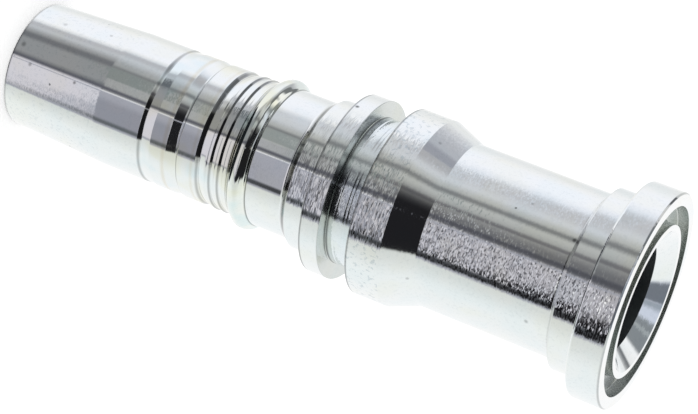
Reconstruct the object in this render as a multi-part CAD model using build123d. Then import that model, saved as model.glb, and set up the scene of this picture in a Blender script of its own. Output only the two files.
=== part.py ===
from build123d import *
import os
from math import radians, sqrt, tan

# Steel press insert of a hydraulic hose, one turned piece, in millimetres.
# It stands on its tail end: the origin is the middle of that end and +Z runs to the flange face.

# Hose tail, the common diameter of its crests
tail_diameter = 32.9

# Flange head for split clamps, nominal 1 1/4 inch
flange_diameter = 50.8
flange_thickness = 8.1
flange_edge_chamfer = 0.4
flange_back_radius = 0.8

# Face groove that holds the O-ring
outer_land_width = 3.1
seal_groove_outer_diameter = flange_diameter - 2 * outer_land_width
seal_groove_width = 4.3
seal_groove_inner_diameter = seal_groove_outer_diameter - 2 * seal_groove_width
seal_groove_depth = 2.8
seal_groove_floor_radius = 0.4

# Bore through the whole piece, opened out at the flange and eased at the tail
tail_wall = 3.75
bore_diameter = tail_diameter - 2 * tail_wall
inner_land_width = 1.4
countersink_diameter = seal_groove_inner_diameter - 2 * inner_land_width
countersink_depth = 3.6
tail_bore_chamfer = 0.5

# Ring behind the flange head
clamp_seat_width = 3.95
ring_diameter = flange_diameter - 2 * clamp_seat_width
ring_length = 5.9
ring_cone_length = 1.15

# Long plain neck
ring_height = 2.0
neck_diameter = ring_diameter - 2 * ring_height
neck_length = 32.55

# Plain root of the tail, between step and bead
root_rise = 0.2
root_diameter = tail_diameter + 2 * root_rise
root_length = 9.2

# Step at the collar's foot, with its short cone
step_height = 1.5
step_diameter = root_diameter + 2 * step_height
step_length = 5.5
step_cone_length = 1.9
step_root_radius = 1.2

# Lock collar beside the ferrule groove
collar_height = 3.45
collar_diameter = step_diameter + 2 * collar_height
collar_length = 4.95
collar_edge_radius = 0.3

# Groove that the ferrule's rim is pressed into
ferrule_groove_depth = 3.9
ferrule_groove_diameter = collar_diameter - 2 * ferrule_groove_depth
ferrule_groove_width = 7.35
ferrule_groove_root_radius = 0.3

# Shoulder and the cone that leads to the neck
shoulder_rise = 0.8
shoulder_diameter = collar_diameter + 2 * shoulder_rise
shoulder_length = 8.25
shoulder_edge_radius = 0.3
cone_length = 7.35

# Round bead that the hose wall closes over
bead_height = 1.925
bead_diameter = tail_diameter + 2 * bead_height
bead_crest_radius = 2.0
bead_flank_angle = 45
bead_foot_radius = 0.4
bead_land_length = 0.25

# Fine ratchet rings next to the bead
ring_groove_count = 2
ring_groove_depth = 0.4
ring_groove_fall = 0.5
ring_groove_pitch = 2.2

# Deep ratchet groove before them
deep_groove_depth = 0.72
deep_groove_fall = 0.9
deep_groove_break_drop = 0.22
deep_groove_break_length = 1.6
deep_groove_width = 3.8

# Wide groove with a steep end wall
wide_groove_depth = 0.55
wide_groove_fall = 2.2
wide_groove_floor = 0.5
wide_groove_rise = 0.4
wide_groove_land = 4.6

# Shallow groove nearest to the nose
shallow_groove_depth = 0.35
shallow_groove_fall = 1.0
shallow_groove_rise = 2.45
shallow_groove_land = 4.3

# Tapered nose that starts the hose
nose_drop = 1.25
nose_end_diameter = tail_diameter - 2 * nose_drop
nose_length = 25.85
nose_land_length = 11.9
nose_edge_radius = 0.5


class Outline:
    """Corners of half the section, each with its radius, height and rounding."""

    def __init__(self):
        self.corners = []
        self.roundings = []
        self.height = 0.0

    def corner(self, diameter, rise=0.0, rounding=0.0):
        """Add a corner at this diameter, so much higher than the last one."""
        self.height += rise
        self.corners.append((diameter / 2, self.height))
        self.roundings.append(rounding)

    def face(self):
        """The closed half section in the XZ plane."""
        edge = FilletPolyline(*self.corners, radius=self.roundings, close=True)
        return Plane.XZ * make_face(edge)


def add_nose(outline):
    outline.corner(bore_diameter + 2 * tail_bore_chamfer)
    outline.corner(nose_end_diameter, rounding=nose_edge_radius)
    outline.corner(tail_diameter, nose_length)


def add_hose_grooves(outline):
    # Every groove falls away towards the flange and climbs back to the crest diameter
    outline.corner(tail_diameter, nose_land_length)
    outline.corner(tail_diameter - 2 * shallow_groove_depth, shallow_groove_fall)
    outline.corner(tail_diameter, shallow_groove_rise)

    outline.corner(tail_diameter, shallow_groove_land)
    wide_groove_diameter = tail_diameter - 2 * wide_groove_depth
    outline.corner(wide_groove_diameter, wide_groove_fall)
    outline.corner(wide_groove_diameter, wide_groove_floor)
    outline.corner(tail_diameter, wide_groove_rise)

    outline.corner(tail_diameter, wide_groove_land)
    outline.corner(tail_diameter - 2 * deep_groove_depth, deep_groove_fall)
    outline.corner(tail_diameter - 2 * deep_groove_break_drop, deep_groove_break_length)
    outline.corner(tail_diameter, deep_groove_width - deep_groove_fall - deep_groove_break_length)

    for _ in range(ring_groove_count):
        outline.corner(tail_diameter - 2 * ring_groove_depth, ring_groove_fall)
        outline.corner(tail_diameter, ring_groove_pitch - ring_groove_fall)


def add_bead(outline):
    # The flanks would meet at a sharp tip, which the crest radius rounds down to the bead diameter
    flank = radians(bead_flank_angle)
    tip_diameter = bead_diameter + 2 * bead_crest_radius * (sqrt(1 + tan(flank) ** 2) - 1)
    tail_side = (tip_diameter - tail_diameter) / 2 / tan(flank)
    root_side = (tip_diameter - root_diameter) / 2 / tan(flank)
    outline.corner(tail_diameter, bead_land_length, bead_foot_radius)
    outline.corner(tip_diameter, tail_side, bead_crest_radius)
    outline.corner(root_diameter, root_side, bead_foot_radius)


def add_ferrule_seat(outline):
    outline.corner(root_diameter, root_length, step_root_radius)
    outline.corner(step_diameter, step_cone_length)
    outline.corner(step_diameter, step_length)
    outline.corner(collar_diameter, rounding=collar_edge_radius)
    outline.corner(collar_diameter, collar_length)
    outline.corner(ferrule_groove_diameter, rounding=ferrule_groove_root_radius)
    outline.corner(ferrule_groove_diameter, ferrule_groove_width, ferrule_groove_root_radius)
    outline.corner(shoulder_diameter, rounding=shoulder_edge_radius)
    outline.corner(shoulder_diameter, shoulder_length)
    outline.corner(neck_diameter, cone_length)


def add_flange(outline):
    outline.corner(neck_diameter, neck_length)
    outline.corner(ring_diameter, ring_cone_length)
    outline.corner(ring_diameter, ring_length)
    outline.corner(flange_diameter, rounding=flange_back_radius)
    outline.corner(flange_diameter, flange_thickness - flange_edge_chamfer)
    outline.corner(flange_diameter - 2 * flange_edge_chamfer, flange_edge_chamfer)


def add_face_and_bore(outline):
    outline.corner(seal_groove_outer_diameter)
    outline.corner(seal_groove_outer_diameter, -seal_groove_depth, seal_groove_floor_radius)
    outline.corner(seal_groove_inner_diameter, rounding=seal_groove_floor_radius)
    outline.corner(seal_groove_inner_diameter, seal_groove_depth)
    outline.corner(countersink_diameter)
    outline.corner(bore_diameter, -countersink_depth)
    outline.corner(bore_diameter, tail_bore_chamfer - outline.height)


outline = Outline()
add_nose(outline)
add_hose_grooves(outline)
add_bead(outline)
add_ferrule_seat(outline)
add_flange(outline)
add_face_and_bore(outline)

hose_fitting = revolve(outline.face(), axis=Axis.Z)

os.makedirs("parts", exist_ok=True)
export_step(hose_fitting, "parts/hose_fitting.step")
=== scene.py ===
import math

import bpy
from mathutils import Euler, Matrix


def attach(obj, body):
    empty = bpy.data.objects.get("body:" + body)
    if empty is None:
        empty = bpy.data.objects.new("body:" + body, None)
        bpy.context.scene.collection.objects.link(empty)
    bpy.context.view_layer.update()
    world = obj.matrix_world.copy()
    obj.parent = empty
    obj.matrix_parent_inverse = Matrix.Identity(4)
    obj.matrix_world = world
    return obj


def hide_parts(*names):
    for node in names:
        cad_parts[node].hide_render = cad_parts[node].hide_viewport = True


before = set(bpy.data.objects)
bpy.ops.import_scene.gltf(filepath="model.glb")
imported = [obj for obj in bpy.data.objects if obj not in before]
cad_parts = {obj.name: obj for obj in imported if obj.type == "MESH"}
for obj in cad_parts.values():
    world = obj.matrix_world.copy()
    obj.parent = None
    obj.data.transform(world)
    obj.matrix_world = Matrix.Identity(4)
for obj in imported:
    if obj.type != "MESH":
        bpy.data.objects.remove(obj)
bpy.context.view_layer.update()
mm = 0.001

# The fitting stands on its tail end, so the camera is rolled to lay it across the picture. Its
# place, turn and lens come from another script's perspective fit to the photo
viewpoint = {
    "place": (0.0, -0.50454, 0.26611),
    "pitch": 70.437,
    "yaw": -0.527,
    "roll": 111.580,
    "lens": 120.92,
    "pictureWidth": 36.0,
    "nearest": 0.01,
    "farthest": 50.0,
}


def makeCamera():
    data = bpy.data.cameras.new("camera")
    data.sensor_width = viewpoint["pictureWidth"]
    data.lens = viewpoint["lens"]
    data.clip_start = viewpoint["nearest"]
    data.clip_end = viewpoint["farthest"]
    camera = bpy.data.objects.new("camera", data)
    bpy.context.scene.collection.objects.link(camera)
    aim = Euler((math.radians(viewpoint["pitch"]), 0.0, math.radians(viewpoint["yaw"])))
    turn = aim.to_matrix() @ Matrix.Rotation(math.radians(viewpoint["roll"]), 3, "Z")
    camera.location = viewpoint["place"]
    camera.rotation_euler = turn.to_euler()
    bpy.context.scene.camera = camera


def deselectAll():
    if bpy.context.object and bpy.context.object.mode != "OBJECT":
        bpy.ops.object.mode_set(mode="OBJECT")
    bpy.ops.object.select_all(action="DESELECT")


def newMaterial(name):
    material = bpy.data.materials.new(name)
    material.use_nodes = True
    material.node_tree.nodes.clear()
    return material


# Every node is added here: its settings, then its inputs, each one a value or a link
def addNode(tree, kind, settings=None, inputs=None):
    node = tree.nodes.new(kind)
    for name, value in (settings or {}).items():
        setattr(node, name, value)
    for name, value in (inputs or {}).items():
        setInput(tree, node, name, value)
    return node


def setInput(tree, node, name, value):
    if isinstance(value, bpy.types.NodeSocket):
        tree.links.new(value, node.inputs[name])
    elif value is not None:
        node.inputs[name].default_value = value


def calculate(tree, operation, first, second=None):
    node = addNode(tree, "ShaderNodeMath", {"operation": operation}, {0: first, 1: second})
    return node.outputs[0]


def vectorStep(tree, operation, first, second=None):
    node = addNode(tree, "ShaderNodeVectorMath", {"operation": operation}, {0: first, 1: second})
    return node.outputs["Value" if operation in ("LENGTH", "DISTANCE") else "Vector"]


def scaled(tree, vector, amount):
    node = addNode(tree, "ShaderNodeVectorMath", {"operation": "SCALE"}, {0: vector, "Scale": amount})
    return node.outputs["Vector"]


def mixColours(tree, amount, first, second, blend="MIX"):
    node = addNode(tree, "ShaderNodeMix", {"data_type": "RGBA", "blend_type": blend})
    for number, value in ((0, amount), (6, first), (7, second)):
        setInput(tree, node, number, value)
    return node.outputs[2]


def noise(tree, vector, detail=1.0):
    node = addNode(tree, "ShaderNodeTexNoise", None, {"Vector": vector, "Scale": 1.0, "Detail": detail})
    return node.outputs["Fac"]


# A soft step from start to end while the value goes from low to high
def spread(tree, value, low, high, start, end):
    node = addNode(tree, "ShaderNodeMapRange", {"interpolation_type": "SMOOTHSTEP"}, {
        "Value": value,
        "From Min": low,
        "From Max": high,
        "To Min": start,
        "To Max": end,
    })
    return node.outputs["Result"]


# White floor, white surroundings and a tent lining that only the metal mirrors
studio = {
    "floorSize": 12.0,
    "floorColour": (0.86, 0.86, 0.86, 1.0),
    "floorGlow": 0.34,
    "glowColour": (1.0, 1.0, 1.0, 1.0),
    "skyStrength": 1.0,
    "tentRadius": 6.0,
    "tentHeight": 0.08,
    "tentSegments": 48,
    "tentRings": 24,
}

# Cards in the tent, the first lies under the next: angles in degrees to the side of the camera
# (right is plus) and over the middle of the fitting, how far each edge fades, and the shade.
# Straight lengths mirror what is 12 to 29 degrees down, flanks that face up what is above it.
# Not all are chosen by hand: 21 cards began as another script's least-squares fit to colours
# sampled from the photo, and roughly 150 of the numbers are still what it gave, rounded
cards = [
    # Pale sheets far to the left and right
    {"side": (-114, -88), "sideFade": (22, 12), "rise": (-58, 25), "riseFade": (3, 10),
     "shade": (0.93, 0.955, 1)},
    {"side": (-149, -146), "sideFade": (24, 34), "rise": (-90, 90), "riseFade": (1, 1),
     "shade": (0.82, 0.84, 0.84)},
    {"side": (62, 81), "sideFade": (2, 110), "rise": (-90, 90), "riseFade": (1, 1),
     "shade": (0.86, 0.905, 0.895)},
    {"side": (54.7, 55.7), "sideFade": (2.3, 41), "rise": (-90, 90), "riseFade": (1, 1),
     "shade": (0.68, 0.71, 0.68)},
    # Grey sheets on the left
    {"side": (-72, -1), "sideFade": (14, 2), "rise": (-90, 90), "riseFade": (1, 1),
     "shade": (0.64, 0.67, 0.7)},
    {"side": (-74, -67), "sideFade": (27, 5), "rise": (-16, 90), "riseFade": (9, 1),
     "shade": (0.68, 0.73, 0.8)},
    {"side": (-74, -68), "sideFade": (14, 16), "rise": (-12, 0), "riseFade": (12, 6),
     "shade": (0.53, 0.54, 0.56)},
    {"side": (-74, -68), "sideFade": (11, 16), "rise": (0, 20), "riseFade": (7, 6),
     "shade": (0.425, 0.43, 0.445)},
    {"side": (-72, -70), "sideFade": (5, 9), "rise": (-60, -24), "riseFade": (1, 3),
     "shade": (0.49, 0.5, 0.525)},
    {"side": (-44.5, 0.5), "sideFade": (14, 2), "rise": (-90, 60), "riseFade": (1, 8),
     "shade": (0.465, 0.48, 0.465)},
    # Darker strips in them
    {"side": (-49, 0), "sideFade": (23, 3), "rise": (-63, -33), "riseFade": (3, 16),
     "shade": (0.285, 0.29, 0.295)},
    {"side": (-46.5, -43.5), "sideFade": (7, 9), "rise": (-38, -30.5), "riseFade": (4, 2),
     "shade": (0.165, 0.17, 0.18)},
    {"side": (-5, -2), "sideFade": (8, 4), "rise": (-38, -30), "riseFade": (4, 4),
     "shade": (0.18, 0.185, 0.195)},
    {"side": (-40.5, -39.8), "sideFade": (6, 6), "rise": (-29.6, 60), "riseFade": (1.2, 8),
     "shade": (0.212, 0.22, 0.222)},
    {"side": (-60, -47), "sideFade": (5, 4), "rise": (-45, -40), "riseFade": (3, 3),
     "shade": (0.13, 0.14, 0.15)},
    {"side": (-37, -21), "sideFade": (4, 3), "rise": (-31, -25.2), "riseFade": (1, 1.5),
     "shade": (0.235, 0.257, 0.25)},
    {"side": (-37, -21), "sideFade": (4, 3), "rise": (-23, -21.4), "riseFade": (0.6, 0.6),
     "shade": (0.29, 0.315, 0.305)},
    {"side": (-16, -5), "sideFade": (3, 2), "rise": (-23, -21.5), "riseFade": (0.6, 0.6),
     "shade": (0.39, 0.4, 0.41)},
    # A darker part in front of the camera, with a fine line beside it
    {"side": (-15, 5), "sideFade": (19, 4), "rise": (-20.3, 60), "riseFade": (1.5, 8),
     "shade": (0.265, 0.268, 0.265)},
    {"side": (-8.5, 5), "sideFade": (11.5, 4), "rise": (-17, 60), "riseFade": (4.5, 8),
     "shade": (0.155, 0.157, 0.165)},
    {"side": (-21.3, -20), "sideFade": (4.5, 2.5), "rise": (-19.8, 60), "riseFade": (1.8, 8),
     "shade": (0.165, 0.165, 0.172)},
    # Lilac sheets on the right, with dark bars across
    {"side": (6, 57), "sideFade": (6, 3.5), "rise": (-90, -8), "riseFade": (1, 2),
     "shade": (0.37, 0.378, 0.425)},
    {"side": (22, 50), "sideFade": (14, 4), "rise": (-29, -23), "riseFade": (3, 1),
     "shade": (0.29, 0.295, 0.335)},
    {"side": (0, 53), "sideFade": (4.5, 3.3), "rise": (-60.5, -32), "riseFade": (2, 1.5),
     "shade": (0.66, 0.646, 0.687)},
    {"side": (6, 50), "sideFade": (6, 4), "rise": (-20.3, -17.2), "riseFade": (0.4, 0.4),
     "shade": (0.62, 0.615, 0.66)},
    {"side": (5, 48), "sideFade": (4, 6), "rise": (-16.6, -14.6), "riseFade": (0.4, 0.4),
     "shade": (0.1, 0.1, 0.11)},
    {"side": (6, 46), "sideFade": (6, 6), "rise": (-14, -8), "riseFade": (0.4, 1.5),
     "shade": (0.44, 0.43, 0.46)},
    # The dark line between left and right
    {"side": (-3, -2.4), "sideFade": (4.5, 5.5), "rise": (-90, 60), "riseFade": (1, 8),
     "shade": (0.11, 0.112, 0.133)},
    {"side": (-3.2, -2.4), "sideFade": (4, 5), "rise": (-17, 60), "riseFade": (5, 8),
     "shade": (0.085, 0.087, 0.1)},
    # The lilac sheets' outer edge, black higher up
    {"side": (37, 53), "sideFade": (12, 3), "rise": (-31.2, -30.2), "riseFade": (3.2, 0.8),
     "shade": (0.4, 0.405, 0.45)},
    {"side": (51.5, 53.3), "sideFade": (6, 4), "rise": (-28.5, 0), "riseFade": (8, 2),
     "shade": (0.123, 0.134, 0.145)},
    {"side": (51, 53.3), "sideFade": (5, 4), "rise": (-21, -2), "riseFade": (4, 4),
     "shade": (0.05, 0.052, 0.058)},
    {"side": (44, 53.3), "sideFade": (9, 4), "rise": (-13.5, -2), "riseFade": (1.5, 4),
     "shade": (0.008, 0.008, 0.009)},
    {"side": (37, 53.3), "sideFade": (12, 4), "rise": (-9.5, -2), "riseFade": (2.5, 4),
     "shade": (0.01, 0.01, 0.011)},
    # Black panels above
    {"side": (-4, 53.6), "sideFade": (30, 4), "rise": (1.5, 64), "riseFade": (6, 2),
     "shade": (0.013, 0.013, 0.015)},
    {"side": (9, 53.6), "sideFade": (5, 4), "rise": (55, 68), "riseFade": (3, 3),
     "shade": (0.013, 0.013, 0.015)},
    {"side": (-30, 0), "sideFade": (24, 1), "rise": (36, 64), "riseFade": (6, 2),
     "shade": (0.013, 0.013, 0.015)},
    {"side": (54, 66), "sideFade": (1, 7), "rise": (47, 66), "riseFade": (10, 3),
     "shade": (0.013, 0.013, 0.015)},
    # Grey trails to the left of them
    {"side": (-100, -80), "sideFade": (7, 6), "rise": (28, 37), "riseFade": (4, 4),
     "shade": (0.18, 0.19, 0.2)},
    {"side": (-80, -60), "sideFade": (6, 6), "rise": (36, 45), "riseFade": (4, 4),
     "shade": (0.15, 0.16, 0.17)},
    {"side": (-62, -40), "sideFade": (6, 6), "rise": (41, 52), "riseFade": (5, 4),
     "shade": (0.12, 0.125, 0.13)},
    # A bright slit beside the dark line
    {"side": (4.2, 4.8), "sideFade": (1, 0.9), "rise": (-37, 21), "riseFade": (6, 3),
     "shade": (0.36, 0.37, 0.42)},
    # Grey patches far to the left
    {"side": (-129, -77), "sideFade": (17, 5), "rise": (12, 20), "riseFade": (20, 4),
     "shade": (0.456, 0.473, 0.509)},
    {"side": (-84, -75), "sideFade": (6, 2), "rise": (12, 20), "riseFade": (4, 3),
     "shade": (0.335, 0.345, 0.385)},
    {"side": (-142, -79), "sideFade": (16, 6), "rise": (21.5, 29), "riseFade": (2.5, 4),
     "shade": (0.18, 0.19, 0.2)},
    # Sheets overhead
    {"side": (-76, 90), "sideFade": (6, 14), "rise": (72, 90), "riseFade": (7, 1),
     "shade": (0.62, 0.66, 0.75)},
    {"side": (-8, 8), "sideFade": (45, 12), "rise": (72, 90), "riseFade": (3, 1),
     "shade": (0.33, 0.37, 0.42)},
    {"side": (32, 86), "sideFade": (28, 10), "rise": (71, 90), "riseFade": (5, 1),
     "shade": (0.17, 0.19, 0.22)},
    {"side": (-120, -84), "sideFade": (8, 14), "rise": (50, 74), "riseFade": (7, 4),
     "shade": (0.24, 0.26, 0.275)},
    {"side": (-97, -95), "sideFade": (4, 4), "rise": (60, 72), "riseFade": (4, 3),
     "shade": (0.37, 0.4, 0.41)},
    # A dark ring under everything
    {"side": (-180, 180), "sideFade": (1, 1), "rise": (-90, -62.5), "riseFade": (1, 2.5),
     "shade": (0.012, 0.014, 0.016)},
]


def fade(tree, angle, low, high, rising):
    start, end = (0.0, 1.0) if rising else (1.0, 0.0)
    return spread(tree, angle, math.radians(low), math.radians(high), start, end)


def makeTent():
    deselectAll()
    bpy.ops.mesh.primitive_uv_sphere_add(
        segments=studio["tentSegments"],
        ring_count=studio["tentRings"],
        radius=studio["tentRadius"],
    )
    tent = bpy.context.object
    tent.name = "tent"
    bpy.ops.object.mode_set(mode="EDIT")
    bpy.ops.mesh.select_all(action="SELECT")
    bpy.ops.mesh.flip_normals()
    bpy.ops.transform.translate(value=(0, 0, studio["tentHeight"]))
    bpy.ops.object.mode_set(mode="OBJECT")

    # Each point of the lining knows its direction from the tent's middle
    material = newMaterial("tentLining")
    tree = material.node_tree
    place = addNode(tree, "ShaderNodeTexCoord").outputs["Object"]
    middle = (0, 0, -studio["tentHeight"])
    centred = addNode(tree, "ShaderNodeMapping", None, {"Vector": place, "Location": middle})
    direction = vectorStep(tree, "NORMALIZE", centred.outputs["Vector"])
    axes = addNode(tree, "ShaderNodeSeparateXYZ", None, {"Vector": direction})
    ahead = calculate(tree, "MULTIPLY", axes.outputs["Y"], -1.0)
    side = calculate(tree, "ARCTAN2", axes.outputs["X"], ahead)
    rise = calculate(tree, "ARCSINE", axes.outputs["Z"])
    colour = studio["glowColour"]
    for card in cards:
        mask = 1.0
        for angle, way in ((side, "side"), (rise, "rise")):
            start, end = card[way]
            before, after = card[way + "Fade"]
            mask = calculate(tree, "MULTIPLY", fade(tree, angle, start - before, start, True), mask)
            mask = calculate(tree, "MULTIPLY", fade(tree, angle, end, end + after, False), mask)
        colour = mixColours(tree, mask, colour, (*card["shade"], 1.0))
    glow = addNode(tree, "ShaderNodeEmission", None, {"Color": colour, "Strength": 1.0})
    addNode(tree, "ShaderNodeOutputMaterial", None, {"Surface": glow.outputs[0]})
    tent.data.materials.append(material)
    tent.visible_camera = False
    tent.visible_diffuse = False
    tent.visible_shadow = False


def makeFloor():
    deselectAll()
    bpy.ops.mesh.primitive_plane_add(size=studio["floorSize"], location=(0, 0, 0))
    floor = bpy.context.object
    floor.name = "floor"
    material = newMaterial("palePaper")
    tree = material.node_tree
    seen = addNode(tree, "ShaderNodeLightPath").outputs["Is Camera Ray"]
    strength = calculate(tree, "MULTIPLY", seen, studio["floorGlow"])
    paper = addNode(tree, "ShaderNodeBsdfDiffuse", None, {"Color": studio["floorColour"]})
    glow = addNode(tree, "ShaderNodeEmission", None, {
        "Color": studio["glowColour"],
        "Strength": strength,
    })
    both = addNode(tree, "ShaderNodeAddShader", None, {0: paper.outputs[0], 1: glow.outputs[0]})
    addNode(tree, "ShaderNodeOutputMaterial", None, {"Surface": both.outputs[0]})
    floor.data.materials.append(material)
    floor.visible_glossy = False


def makeSky():
    world = bpy.data.worlds.new("whiteSky")
    world.use_nodes = True
    tree = world.node_tree
    tree.nodes.clear()
    sky = addNode(tree, "ShaderNodeBackground", None, {
        "Color": studio["glowColour"],
        "Strength": studio["skyStrength"],
    })
    addNode(tree, "ShaderNodeOutputWorld", None, {"Surface": sky.outputs[0]})
    bpy.context.scene.world = world


makeCamera()
makeFloor()
makeSky()
makeTent()
print("camera and studio made")

# The fitting's outline in millimetres, from the tail end up the outside and down into the bore:
# diameter, rise from the corner before, rounding
fitting = {
    "nose": [
        (26.4, 0.0, 0.05),
        (30.4, 0.0, 0.5),
        (32.9, 25.85, 15.0),
    ],
    "hoseGrooves": [
        (32.9, 11.9, 0.35),
        (32.2, 1.0, 0.25),
        (32.9, 2.45, 0.8),
        (32.9, 4.3, 0.5),
        (31.8, 2.2, 0.5),
        (31.8, 0.5, 0.1),
        (32.9, 0.4, 0.1),
        (32.9, 4.6, 0.15),
        (31.46, 0.9, 0.1),
        (32.46, 1.6, 0.8),
        (32.9, 1.3, 0.1),
        (32.1, 0.5, 0.1),
        (32.9, 1.7, 0.1),
        (32.1, 0.5, 0.1),
        (32.9, 1.7, 0.3),
        (32.9, 0.25, 0.4),
    ],
    "tailDiameter": 32.9,
    "beadDiameter": 36.75,
    "beadRounding": 2.0,
    "beadFootRounding": 0.4,
    "rootDiameter": 33.3,
    "ferruleSeat": [
        (33.3, 9.2, 1.2),
        (36.3, 1.9, 0.1),
        (36.3, 5.5, 0.1),
        (43.2, 0.0, 0.3),
        (43.2, 4.95, 0.1),
        (35.4, 0.0, 0.3),
        (35.4, 7.35, 0.3),
        (44.8, 0.0, 0.3),
        (44.8, 8.25, 0.3),
        (38.9, 7.35, 0.3),
    ],
    "neckAndHead": [
        (38.9, 32.55, 0.1),
        (42.9, 1.15, 0.15),
        (42.9, 5.9, 0.1),
        (50.8, 0.0, 0.8),
        (50.8, 7.7, 0.1),
        (50.0, 0.4, 0.1),
    ],
    "faceAndCountersink": [
        (44.6, 0.0, 0.1),
        (44.6, -2.8, 0.4),
        (36.0, 0.0, 0.4),
        (36.0, 2.8, 0.1),
        (33.2, 0.0, 0.1),
        (25.4, -3.6, 0.1),
    ],
    "boreDiameter": 25.4,
    "boreChamfer": 0.5,
    "roundSteps": 6,
    "roundProfile": 0.5,
    "turnSteps": 288,
    "smoothAngle": 30.0,
    "pickDistance": 0.005,
    "joinDistance": 0.001,
}


def outlineCorners():
    # The bead's 45 degree flanks would meet at a tip, which the rounding takes down to its diameter
    tip = fitting["beadDiameter"] + 2 * fitting["beadRounding"] * (math.sqrt(2) - 1)
    bead = [
        (tip, (tip - fitting["tailDiameter"]) / 2, fitting["beadRounding"]),
        (fitting["rootDiameter"], (tip - fitting["rootDiameter"]) / 2, fitting["beadFootRounding"]),
    ]
    stretches = (
        fitting["nose"],
        fitting["hoseGrooves"],
        bead,
        fitting["ferruleSeat"],
        fitting["neckAndHead"],
        fitting["faceAndCountersink"],
    )
    corners = []
    height = 0.0
    for stretch in stretches:
        for diameter, rise, rounding in stretch:
            height += rise
            corners.append((diameter, height, rounding))
    corners.append((fitting["boreDiameter"], fitting["boreChamfer"], 0.0))
    return corners


def turnFitting():
    deselectAll()
    corners = outlineCorners()
    start = (corners[0][0] / 2 * mm, 0, corners[0][1] * mm)
    bpy.ops.mesh.primitive_plane_add(size=mm, location=start)
    bpy.ops.object.transform_apply(location=True, rotation=True, scale=True)
    piece = bpy.context.object
    piece.name = "turnedFitting"

    # One point is drawn out along the outline, then the outline is closed and rounded
    bpy.ops.object.mode_set(mode="EDIT")
    bpy.ops.mesh.select_mode(type="VERT")
    bpy.ops.mesh.select_all(action="SELECT")
    bpy.ops.mesh.merge(type="CENTER")
    for last, corner in zip(corners, corners[1:]):
        step = ((corner[0] - last[0]) / 2 * mm, 0, (corner[1] - last[1]) * mm)
        bpy.ops.mesh.extrude_region_move(TRANSFORM_OT_translate={"value": step})
    bpy.ops.mesh.select_all(action="SELECT")
    bpy.ops.mesh.edge_face_add()
    for number, corner in enumerate(corners):
        if corner[2] > 0:
            roundCorner(piece, corners[number - 1], corner, corners[(number + 1) % len(corners)])

    bpy.ops.mesh.select_all(action="SELECT")
    bpy.ops.mesh.delete(type="ONLY_FACE")
    bpy.ops.mesh.select_all(action="SELECT")
    bpy.ops.mesh.spin(steps=fitting["turnSteps"], angle=2 * math.pi, center=(0, 0, 0), axis=(0, 0, 1))
    bpy.ops.mesh.select_all(action="SELECT")
    bpy.ops.mesh.remove_doubles(threshold=fitting["joinDistance"] * mm)
    bpy.ops.mesh.normals_make_consistent(inside=False)
    bpy.ops.object.mode_set(mode="OBJECT")
    bpy.ops.object.shade_smooth_by_angle(angle=math.radians(fitting["smoothAngle"]))
    evenShading = piece.modifiers.new("evenShading", "WEIGHTED_NORMAL")
    evenShading.keep_sharp = True
    bpy.ops.object.modifier_apply(modifier=evenShading.name)
    return piece


def roundCorner(piece, before, corner, after):
    # A rounding starts this far from the corner along both sides
    firstAngle = math.atan2(before[1] - corner[1], (before[0] - corner[0]) / 2)
    nextAngle = math.atan2(after[1] - corner[1], (after[0] - corner[0]) / 2)
    between = abs(firstAngle - nextAngle)
    between = min(between, 2 * math.pi - between)
    offset = corner[2] / math.tan(between / 2) * mm
    bpy.ops.mesh.select_all(action="DESELECT")
    bpy.ops.object.mode_set(mode="OBJECT")
    for vertex in piece.data.vertices:
        x, y, z = vertex.co
        distance = math.hypot(x - corner[0] / 2 * mm, z - corner[1] * mm)
        vertex.select = distance < fitting["pickDistance"] * mm
    bpy.ops.object.mode_set(mode="EDIT")
    bpy.ops.mesh.bevel(
        offset=offset,
        affect="VERTICES",
        segments=fitting["roundSteps"],
        profile=fitting["roundProfile"],
    )


body = turnFitting()
print("fitting turned:", len(body.data.vertices), "points")

# What every finish starts from, lengths in millimetres: where it lies across the fitting, tint,
# turning marks, mottling, stains and pits
plainZinc = {
    "radius": (0, 30),
    "tint": (0.945, 0.952, 0.958),
    "roughness": 0.06,
    "streakTilt": 0.02,
    "streakWidth": 0.19,
    "streakLength": 0.5,
    "ringTilt": 0.0,
    "ringPitch": 0.9,
    "mottling": 0.1,
    "mottleSize": 0.8,
    "stain": 0.03,
    "stainSize": 9.0,
    "pits": 0.10,
    "pitSize": 0.55,
    "paintedShadeLines": (),
    "slopes": (),
    "strawRings": (),
}
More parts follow.
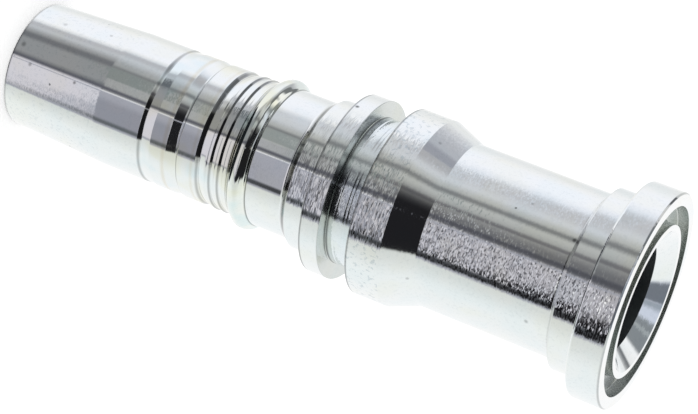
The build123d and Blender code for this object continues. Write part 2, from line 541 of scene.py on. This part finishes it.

# Each stretch's finish, a later one lies over an earlier one: height over the tail end, and what
# differs there. Painted shade lines darken edges and corners: height, half width, how dark. Slopes
# are tool marks: height, half width, how far the surface tips (minus faces up). Straw rings are
# stains round the fitting: height, half width, how strong
finishes = [
    {"name": "noseZinc", "height": (-1, 25.9), "pits": 0.22, "mottling": 0.2,
     "paintedShadeLines": ((0.2, 0.6, 0.5),)},
    {"name": "tailZinc", "height": (25.9, 37.7)},
    {"name": "ratchetZinc", "height": (37.7, 61.6), "stain": 0.09, "mottling": 0.0, "pits": 0.0,
     "paintedShadeLines": ((38.2, 0.55, 0.4), (48.35, 0.45, 0.65), (53.7, 0.5, 0.4), (57.2, 0.4, 0.45),
               (59.4, 0.4, 0.45)),
     "slopes": ((56.2, 0.25, -0.25), (58.4, 0.25, -0.25), (60.6, 0.25, -0.25)),
     "strawRings": ((44.8, 0.9, 0.5), (52.4, 0.7, 0.35))},
    {"name": "beadZinc", "height": (61.6, 67.1), "stain": 0.12, "tint": (0.92, 0.935, 0.90),
     "streakTilt": 0.0, "pits": 0.0,
     "paintedShadeLines": ((61.8, 0.5, 0.45), (67.0, 0.33, 0.6)),
     "slopes": ((64.5, 1.2, 0.26), (66.62, 0.35, -0.2))},
    {"name": "rootZinc", "height": (67.1, 76.2), "streakTilt": 0.01, "roughness": 0.05},
    {"name": "stepZinc", "height": (76.2, 83.6), "streakTilt": 0.12, "streakWidth": 0.17,
     "streakLength": 1.4, "ringTilt": 0.06, "ringPitch": 0.5},
    {"name": "stepFootZinc", "height": (75.6, 78.0), "paintedShadeLines": ((77.25, 1.25, 0.75),)},
    {"name": "collarZinc", "height": (83.6, 88.45), "streakTilt": 0.125, "streakLength": 1.2,
     "paintedShadeLines": ((83.95, 0.35, 0.55), (88.5, 0.3, 0.35))},
    # The groove wall's dark tint is painted shade, standing in for the dark wall opposite that it
    # mirrors
    {"name": "grooveWallZinc", "height": (88.45, 95.9), "radius": (17.8, 30), "streakTilt": 0.05,
     "ringTilt": 0.1, "roughness": 0.16, "tint": (0.68, 0.71, 0.69)},
    # The groove floor's darker, cooler tint is partly the plate's own colour and partly painted shade
    # from its walls
    {"name": "ferruleGrooveZinc", "height": (88.6, 95.8), "radius": (0, 17.8), "streakTilt": 0.1,
     "ringTilt": 0.12, "ringPitch": 1.3, "roughness": 0.12, "tint": (0.88, 0.92, 0.95),
     "paintedShadeLines": ((88.7, 0.6, 0.75), (95.6, 0.3, 0.5)),
     "slopes": ((90.3, 0.35, -0.25), (92.4, 0.3, -0.3), (93.2, 0.25, -0.3))},
    {"name": "shoulderZinc", "height": (95.9, 104.1), "streakTilt": 0.15, "streakLength": 0.9,
     "mottling": 0.5, "mottleSize": 0.9, "paintedShadeLines": ((96.2, 0.4, 0.55),)},
    {"name": "coneZinc", "height": (104.1, 111.45), "streakTilt": 0.06, "roughness": 0.08},
    {"name": "neckZinc", "height": (111.45, 143.95), "streakTilt": 0.11,
     "slopes": ((143.9, 0.5, -0.14),)},
    {"name": "headZinc", "height": (143.95, 159.12), "streakTilt": 0.12,
     "paintedShadeLines": ((144.6, 0.9, 0.3), (150.9, 0.35, 0.5), (158.95, 0.35, 0.4))},
    {"name": "faceZinc", "height": (155.4, 160), "radius": (12.7, 24.8), "ringTilt": 0.03},
    # The seal groove's dark tint is partly a duller, darker plate and partly painted shade from its
    # walls
    {"name": "sealGrooveZinc", "height": (156.2, 159.1), "radius": (17.9, 22.4), "streakTilt": 0.05,
     "roughness": 0.22, "tint": (0.62, 0.64, 0.62)},
    # The bore's near-black tint is painted shade deep inside the bore
    {"name": "boreZinc", "height": (-1, 155.6), "radius": (0, 13.0), "roughness": 0.5,
     "tint": (0.18, 0.195, 0.2)},
]

# How all finishes draw their marks. A step outwards counts as most of a step along, so that walls
# and faces have them too. Each finish, and its rings, start at their own place on the pattern
marks = {
    "stepOutwards": 0.77,
    "meanRadius": 20.0,
    "ringReach": 0.6,
    "ringStart": 5.0,
    "nextFinish": 7.3,
    "patternDetail": 2.0,
    "mottleEdges": (0.33, 0.46),
    "speckShares": (0.55, 0.62, 0.67),
    "coldEdges": (0.35, 0.5),
    "coldShares": (1.0, 0.3, 0.0),
    "strawEdges": (0.5, 0.66),
    "strawShares": (0.1, 0.3, 1.3),
    "strawColour": (0.80, 0.73, 0.60),
    "pitSpacing": 4.0,
    "pitEdges": (0.06, 0.14),
    "pitDarkness": 0.55,
    "pitRoughness": 0.25,
    "pitBump": 0.4,
    "pitDepth": 0.1,
    "dentCore": 0.2,
}

# Small dents from handling: place in millimetres, size and how dark. They were picked by eye in
# the photo, and another script worked out their places on the fitting
# Each dent is only painted shade, a dark spot in the plate's colour; the surface keeps its shape there
paintedDents = [
    {"place": (13.4, -14.1, 139.0), "size": 0.7, "darkness": 0.35},
    {"place": (-10.7, -16.2, 131.4), "size": 0.5, "darkness": 0.3},
    {"place": (-6.6, -18.3, 143.5), "size": 0.7, "darkness": 0.7},
    {"place": (14.4, -13.7, 110.4), "size": 0.6, "darkness": 0.3},
    {"place": (-17.0, -13.3, 84.7), "size": 0.7, "darkness": 0.75},
    {"place": (1.1, -16.1, 18.5), "size": 0.6, "darkness": 0.6},
    {"place": (0.9, -15.4, 5.7), "size": 0.7, "darkness": 0.45},
    {"place": (-12.2, -10.6, 20.3), "size": 0.6, "darkness": 0.3},
    {"place": (-3.0, -15.0, 2.0), "size": 0.9, "darkness": 0.45},
    {"place": (-10.8, -11.2, 8.4), "size": 0.8, "darkness": 0.25},
    {"place": (-15.9, -14.5, 106.3), "size": 0.6, "darkness": 0.3},
]


# A place on a pattern that runs round the fitting and climbs with the tool
def patternPlace(tree, around, look, start, climb):
    up = addNode(tree, "ShaderNodeCombineXYZ", None, {"X": look["shift"], "Y": start, "Z": climb})
    return vectorStep(tree, "ADD", around, up.outputs["Vector"])


def distanceFrom(tree, along, height):
    return calculate(tree, "ABSOLUTE", calculate(tree, "SUBTRACT", along, height * mm))


def tippedNormal(tree, look, axes):
    flat = addNode(tree, "ShaderNodeCombineXYZ", None, {
        "X": axes.outputs["X"],
        "Y": axes.outputs["Y"],
        "Z": 0.0,
    })
    outward = vectorStep(tree, "NORMALIZE", flat.outputs["Vector"])
    radius = vectorStep(tree, "LENGTH", flat.outputs["Vector"])
    outwardTrack = calculate(tree, "MULTIPLY", radius, marks["stepOutwards"])
    track = calculate(tree, "ADD", axes.outputs["Z"], outwardTrack)

    # Short streaks round the axis, each tipped by its own chance
    around = scaled(tree, outward, marks["meanRadius"] / look["streakLength"])
    climb = calculate(tree, "MULTIPLY", track, 1 / (look["streakWidth"] * mm))
    cells = addNode(tree, "ShaderNodeTexVoronoi", None, {
        "Vector": patternPlace(tree, around, look, 0.0, climb),
        "Scale": 1.0,
    })
    chance = addNode(tree, "ShaderNodeSeparateColor", None, {"Color": cells.outputs["Color"]})
    streaks = calculate(tree, "SUBTRACT", chance.outputs["Red"], 0.5)
    streakTilt = calculate(tree, "MULTIPLY", streaks, look["streakTilt"])

    # Rings that go on nearly all the way round
    around = scaled(tree, outward, marks["ringReach"])
    climb = calculate(tree, "MULTIPLY", track, 1 / (look["ringPitch"] * mm))
    ringNoise = noise(tree, patternPlace(tree, around, look, marks["ringStart"], climb))
    rings = calculate(tree, "SUBTRACT", ringNoise, 0.5)
    ringTilt = calculate(tree, "MULTIPLY", rings, look["ringTilt"])

    tilt = calculate(tree, "ADD", streakTilt, ringTilt)
    for height, width, slope in look["slopes"]:
        away = distanceFrom(tree, axes.outputs["Z"], height)
        tilt = calculate(tree, "ADD", tilt, spread(tree, away, 0.0, width * mm, slope, 0.0))

    # The surface tips only along the outline, as a tool's marks do
    normal = addNode(tree, "ShaderNodeNewGeometry").outputs["Normal"]
    roundWay = vectorStep(tree, "CROSS_PRODUCT", (0.0, 0.0, 1.0), outward)
    outlineWay = vectorStep(tree, "CROSS_PRODUCT", roundWay, normal)
    tipped = vectorStep(tree, "ADD", normal, scaled(tree, outlineWay, tilt))
    return vectorStep(tree, "NORMALIZE", tipped)


# The tint with less of each colour, as much as its share of the stain says
def stained(look, shares):
    return tuple(part * (1 - share * look["stain"]) for part, share in zip(look["tint"], shares))


def plateColour(tree, look, place, along):
    # Broad cold and straw-coloured stains
    stainPlace = scaled(tree, place, 1 / (look["stainSize"] * mm))
    stainNoise = noise(tree, stainPlace, marks["patternDetail"])
    cold = stained(look, marks["coldShares"])
    straw = stained(look, marks["strawShares"])
    leaveCold = spread(tree, stainNoise, *marks["coldEdges"], 0.0, 1.0)
    enterStraw = spread(tree, stainNoise, *marks["strawEdges"], 0.0, 1.0)
    colour = mixColours(tree, leaveCold, (*cold, 1.0), (*look["tint"], 1.0))
    colour = mixColours(tree, enterStraw, colour, (*straw, 1.0))
    for height, width, amount in look["strawRings"]:
        away = distanceFrom(tree, along, height)
        ring = spread(tree, away, 0.0, width * mm, amount, 0.0)
        colour = mixColours(tree, ring, colour, (*marks["strawColour"], 1.0))

    # Mottling on top
    mottlePlace = scaled(tree, place, 1 / (look["mottleSize"] * mm))
    mottleNoise = noise(tree, mottlePlace, marks["patternDetail"])
    mottle = spread(tree, mottleNoise, *marks["mottleEdges"], look["mottling"], 0.0)
    speck = tuple(part * share for part, share in zip(look["tint"], marks["speckShares"]))
    return mixColours(tree, mottle, colour, (*speck, 1.0))


# Sparse small pits, one at most in each cell
def pitMask(tree, look, place):
    pitPlace = scaled(tree, place, 1 / (marks["pitSpacing"] * look["pitSize"] * mm))
    cells = addNode(tree, "ShaderNodeTexVoronoi", None, {"Vector": pitPlace, "Scale": 1.0})
    chosen = calculate(tree, "LESS_THAN", cells.outputs["Color"], look["pits"])
    hollow = spread(tree, cells.outputs["Distance"], *marks["pitEdges"], 1.0, 0.0)
    return calculate(tree, "MULTIPLY", hollow, chosen)


# Pits darken the plate, and painted shade darkens it at small dents and along edges and corners
def marksAndPaintedShade(tree, look, place, along, pit):
    shade = calculate(tree, "SUBTRACT", 1.0, calculate(tree, "MULTIPLY", pit, marks["pitDarkness"]))
    # Painted shade: a dark spot at each small dent
    for dent in paintedDents:
        if look["height"][0] < dent["place"][2] <= look["height"][1]:
            away = vectorStep(tree, "DISTANCE", place, tuple(part * mm for part in dent["place"]))
            size = dent["size"] * mm
            paintedDentShade = spread(tree, away, marks["dentCore"] * size, size, 1 - dent["darkness"], 1.0)
            shade = calculate(tree, "MULTIPLY", shade, paintedDentShade)
    # Painted shade along edges and corners
    for height, width, darkness in look["paintedShadeLines"]:
        away = distanceFrom(tree, along, height)
        paintedLineShade = spread(tree, away, 0.0, width * mm, 1 - darkness, 1.0)
        shade = calculate(tree, "MULTIPLY", shade, paintedLineShade)
    return shade


def makeZinc(look):
    material = newMaterial(look["name"])
    tree = material.node_tree
    place = addNode(tree, "ShaderNodeTexCoord").outputs["Object"]
    axes = addNode(tree, "ShaderNodeSeparateXYZ", None, {"Vector": place})
    along = axes.outputs["Z"]
    pit = pitMask(tree, look, place)
    shade = marksAndPaintedShade(tree, look, place, along, pit)
    colour = mixColours(tree, 1.0, plateColour(tree, look, place, along), shade, "MULTIPLY")
    dullness = calculate(tree, "MULTIPLY", pit, marks["pitRoughness"])
    roughness = calculate(tree, "ADD", dullness, look["roughness"])
    bump = addNode(tree, "ShaderNodeBump", {"invert": True}, {
        "Strength": marks["pitBump"],
        "Distance": marks["pitDepth"] * mm,
        "Height": pit,
        "Normal": tippedNormal(tree, look, axes),
    })
    shader = addNode(tree, "ShaderNodeBsdfPrincipled", None, {
        "Base Color": colour,
        "Metallic": 1.0,
        "Roughness": roughness,
        "Normal": bump.outputs["Normal"],
    })
    addNode(tree, "ShaderNodeOutputMaterial", None, {"Surface": shader.outputs[0]})
    return material


looks = []
for number, own in enumerate(finishes):
    looks.append({**plainZinc, **own, "shift": marks["nextFinish"] * number})
for look in looks:
    body.data.materials.append(makeZinc(look))
for face in body.data.polygons:
    x, y, z = face.center / mm
    radius = math.hypot(x, y)
    for number, look in enumerate(looks):
        inHeight = look["height"][0] < z <= look["height"][1]
        inRadius = look["radius"][0] < radius <= look["radius"][1]
        if inHeight and inRadius:
            face.material_index = number
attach(body, "root")
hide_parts("hose_fitting")
print("finish made")

bpy.context.scene.view_settings.view_transform = "Standard"
